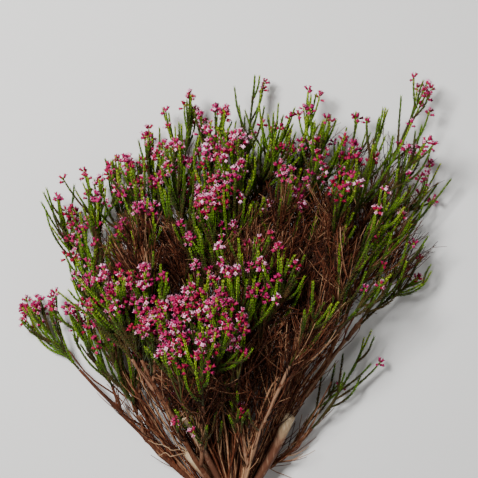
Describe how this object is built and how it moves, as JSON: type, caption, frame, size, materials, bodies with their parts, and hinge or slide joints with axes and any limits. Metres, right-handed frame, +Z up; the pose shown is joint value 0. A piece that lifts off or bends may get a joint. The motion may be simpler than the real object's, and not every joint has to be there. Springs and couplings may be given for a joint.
{
  "type": "heath stem",
  "caption": "Cut heath stem lying on its side: bare brown wood forks out from one foot and carries upright leafy sprays with heads of small pink bells.",
  "frame": {"origin": "under the middle of the stem's bounding box, on the surface that it lies on", "axes": "+Y from the cut end of the foot to the tips, +X to the right seen from above, +Z up from the surface"},
  "size_m": [0.3974, 0.4898, 0.1764],
  "materials": {
    "bark": "rough, reddish brown to grey-brown bark",
    "pale_wood": "bare, weathered pale wood of pruned stubs",
    "leaf": "fine needle leaves, olive to yellow-green, slightly glossy",
    "flower": "matt magenta bells, paler at their mouths"
  },
  "bodies": {
    "root": {"wood": "bark", "spray_01": "leaf", "spray_02": "leaf", "spray_03": "leaf", "spray_04": "leaf", "spray_05": "leaf", "spray_06": "leaf", "spray_07": "leaf", "spray_08": "leaf", "spray_09": "leaf", "spray_10": "leaf", "spray_11": "leaf", "spray_12": "leaf", "spray_13": "leaf", "spray_14": "leaf", "spray_15": "leaf", "spray_16": "leaf", "spray_17": "leaf", "spray_18": "leaf", "spray_19": "leaf", "spray_20": "leaf", "spray_21": "leaf", "spray_22": "leaf", "spray_23": "leaf", "spray_24": "leaf", "spray_25": "leaf", "spray_26": "leaf", "spray_27": "leaf", "spray_28": "leaf", "spray_29": "leaf", "spray_30": "leaf", "spray_31": "leaf", "spray_32": "leaf", "spray_33": "leaf", "spray_34": "leaf", "spray_35": "leaf", "spray_36": "leaf", "spray_37": "leaf", "spray_38": "leaf", "spray_39": "leaf", "spray_40": "leaf", "spray_41": "leaf", "spray_42": "leaf", "spray_43": "leaf", "spray_44": "leaf", "spray_45": "leaf", "spray_46": "leaf", "spray_47": "leaf", "spray_48": "leaf", "spray_49": "leaf", "spray_50": "leaf", "spray_51": "leaf", "spray_52": "leaf"}
  },
  "joints": []
}
